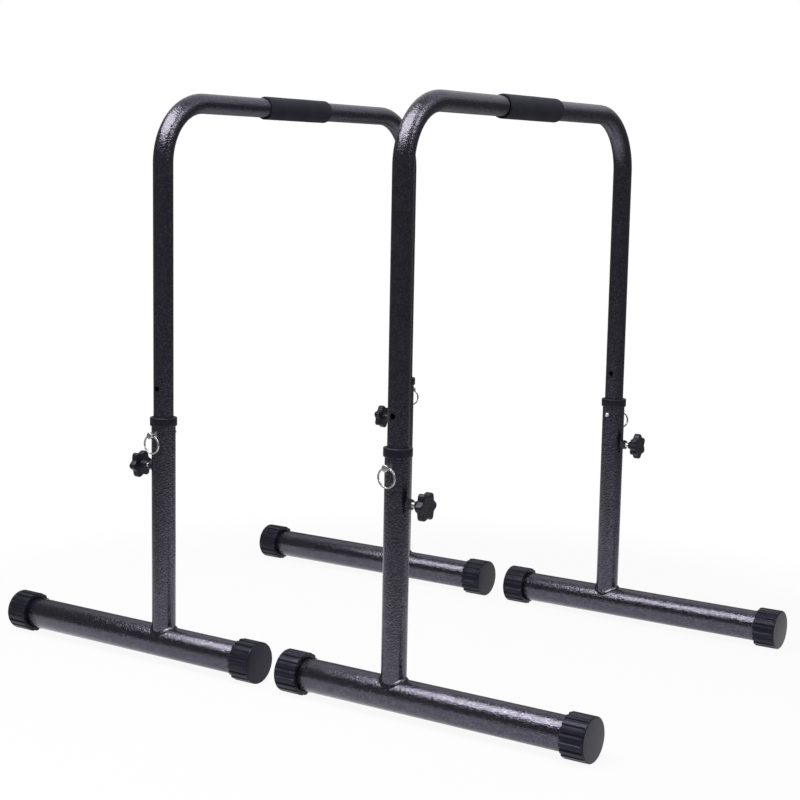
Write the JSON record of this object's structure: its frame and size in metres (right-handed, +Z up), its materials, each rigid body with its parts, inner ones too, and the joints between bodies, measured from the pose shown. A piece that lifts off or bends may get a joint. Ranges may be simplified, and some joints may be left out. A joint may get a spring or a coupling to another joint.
{
  "type": "dip station",
  "caption": "Pair of free-standing bent-tube dip bars, each with a foam grip, height-adjustable legs with lock pins and clamping knobs, and long feet with ribbed end caps.",
  "frame": {"origin": "on the floor, at the middle of the footprint, halfway between the two frames and halfway along the bars", "axes": "+Z up, +X across the user from the left frame to the right frame, +Y along the bars to the back"},
  "size_m": [1.101, 0.7548, 0.9091],
  "materials": {
    "hammered_paint": "dark grey hammered-texture paint",
    "foam": "matte black closed-cell foam",
    "ribbed_rubber": "black ribbed rubber, satin",
    "moulded_plastic": "black moulded plastic",
    "zinc_plate": "bright zinc plate"
  },
  "bodies": {
    "left_frame": {"left_bar": "hammered_paint", "left_grip": "foam", "left_front_foot_tube": "hammered_paint", "left_front_outer_end_cap": "ribbed_rubber", "left_front_inner_end_cap": "ribbed_rubber", "left_front_upright": "hammered_paint", "left_front_weld_bead": "hammered_paint", "left_front_collar": "moulded_plastic", "left_front_clamp_nut": "hammered_paint", "left_back_foot_tube": "hammered_paint", "left_back_outer_end_cap": "ribbed_rubber", "left_back_inner_end_cap": "ribbed_rubber", "left_back_upright": "hammered_paint", "left_back_weld_bead": "hammered_paint", "left_back_collar": "moulded_plastic", "left_back_clamp_nut": "hammered_paint"},
    "right_frame": {"right_bar": "hammered_paint", "right_grip": "foam", "right_front_foot_tube": "hammered_paint", "right_front_outer_end_cap": "ribbed_rubber", "right_front_inner_end_cap": "ribbed_rubber", "right_front_upright": "hammered_paint", "right_front_weld_bead": "hammered_paint", "right_front_collar": "moulded_plastic", "right_front_clamp_nut": "hammered_paint", "right_back_foot_tube": "hammered_paint", "right_back_outer_end_cap": "ribbed_rubber", "right_back_inner_end_cap": "ribbed_rubber", "right_back_upright": "hammered_paint", "right_back_weld_bead": "hammered_paint", "right_back_collar": "moulded_plastic", "right_back_clamp_nut": "hammered_paint"},
    "left_front_clamp_stud_body": {"left_front_clamp_stud": "zinc_plate"},
    "left_front_clamp_knob_body": {"left_front_clamp_knob": "moulded_plastic"},
    "left_front_lock_pin_body": {"left_front_lock_pin": "zinc_plate"},
    "left_front_pin_ring_body": {"left_front_pin_ring": "zinc_plate"},
    "left_back_clamp_stud_body": {"left_back_clamp_stud": "zinc_plate"},
    "left_back_clamp_knob_body": {"left_back_clamp_knob": "moulded_plastic"},
    "left_back_lock_pin_body": {"left_back_lock_pin": "zinc_plate"},
    "left_back_pin_ring_body": {"left_back_pin_ring": "zinc_plate"},
    "right_front_clamp_stud_body": {"right_front_clamp_stud": "zinc_plate"},
    "right_front_clamp_knob_body": {"right_front_clamp_knob": "moulded_plastic"},
    "right_front_lock_pin_body": {"right_front_lock_pin": "zinc_plate"},
    "right_front_pin_ring_body": {"right_front_pin_ring": "zinc_plate"},
    "right_back_clamp_stud_body": {"right_back_clamp_stud": "zinc_plate"},
    "right_back_clamp_knob_body": {"right_back_clamp_knob": "moulded_plastic"},
    "right_back_lock_pin_body": {"right_back_lock_pin": "zinc_plate"},
    "right_back_pin_ring_body": {"right_back_pin_ring": "zinc_plate"}
  },
  "joints": [
    {"name": "left_front_stud_screw", "type": "slide", "parent": "left_frame", "child": "left_front_clamp_stud_body", "axis": [-1, 0, 0], "range_m": [0, 0.005]},
    {"name": "left_front_knob_turn", "type": "hinge", "parent": "left_front_clamp_stud_body", "child": "left_front_clamp_knob_body", "pos_m": [-0.2235, -0.343, 0.318], "axis": [-1, 0, 0], "range_deg": [0, 1440]},
    {"name": "left_front_pin_pull", "type": "slide", "parent": "left_frame", "child": "left_front_lock_pin_body", "axis": [0, -1, 0], "range_m": [0, 0.055]},
    {"name": "left_front_ring_swing", "type": "hinge", "parent": "left_front_lock_pin_body", "child": "left_front_pin_ring_body", "pos_m": [-0.2235, -0.37135, 0.372], "axis": [-1, 0, 0], "range_deg": [-12, 190]},
    {"name": "left_back_stud_screw", "type": "slide", "parent": "left_frame", "child": "left_back_clamp_stud_body", "axis": [-1, 0, 0], "range_m": [0, 0.005]},
    {"name": "left_back_knob_turn", "type": "hinge", "parent": "left_back_clamp_stud_body", "child": "left_back_clamp_knob_body", "pos_m": [-0.2235, 0.343, 0.318], "axis": [-1, 0, 0], "range_deg": [0, 1440]},
    {"name": "left_back_pin_pull", "type": "slide", "parent": "left_frame", "child": "left_back_lock_pin_body", "axis": [0, 1, 0], "range_m": [0, 0.055]},
    {"name": "left_back_ring_swing", "type": "hinge", "parent": "left_back_lock_pin_body", "child": "left_back_pin_ring_body", "pos_m": [-0.2235, 0.37135, 0.372], "axis": [1, 0, 0], "range_deg": [-12, 190]},
    {"name": "right_front_stud_screw", "type": "slide", "parent": "right_frame", "child": "right_front_clamp_stud_body", "axis": [1, 0, 0], "range_m": [0, 0.005]},
    {"name": "right_front_knob_turn", "type": "hinge", "parent": "right_front_clamp_stud_body", "child": "right_front_clamp_knob_body", "pos_m": [0.2235, -0.343, 0.318], "axis": [1, 0, 0], "range_deg": [0, 1440]},
    {"name": "right_front_pin_pull", "type": "slide", "parent": "right_frame", "child": "right_front_lock_pin_body", "axis": [0, -1, 0], "range_m": [0, 0.055]},
    {"name": "right_front_ring_swing", "type": "hinge", "parent": "right_front_lock_pin_body", "child": "right_front_pin_ring_body", "pos_m": [0.2235, -0.37135, 0.372], "axis": [-1, 0, 0], "range_deg": [-12, 190]},
    {"name": "right_back_stud_screw", "type": "slide", "parent": "right_frame", "child": "right_back_clamp_stud_body", "axis": [1, 0, 0], "range_m": [0, 0.005]},
    {"name": "right_back_knob_turn", "type": "hinge", "parent": "right_back_clamp_stud_body", "child": "right_back_clamp_knob_body", "pos_m": [0.2235, 0.343, 0.318], "axis": [1, 0, 0], "range_deg": [0, 1440]},
    {"name": "right_back_pin_pull", "type": "slide", "parent": "right_frame", "child": "right_back_lock_pin_body", "axis": [0, 1, 0], "range_m": [0, 0.055]},
    {"name": "right_back_ring_swing", "type": "hinge", "parent": "right_back_lock_pin_body", "child": "right_back_pin_ring_body", "pos_m": [0.2235, 0.37135, 0.372], "axis": [1, 0, 0], "range_deg": [-12, 190]},
    {"name": "frame_spacing", "type": "slide", "parent": "left_frame", "child": "right_frame", "axis": [1, 0, 0], "range_m": [-0.045, 0.2]}
  ],
  "couplings": [
    {"joint": "left_front_stud_screw", "follows": "left_front_knob_turn", "m_per_rad": 0.00019894},
    {"joint": "left_back_stud_screw", "follows": "left_back_knob_turn", "m_per_rad": 0.00019894},
    {"joint": "right_front_stud_screw", "follows": "right_front_knob_turn", "m_per_rad": 0.00019894},
    {"joint": "right_back_stud_screw", "follows": "right_back_knob_turn", "m_per_rad": 0.00019894}
  ]
}
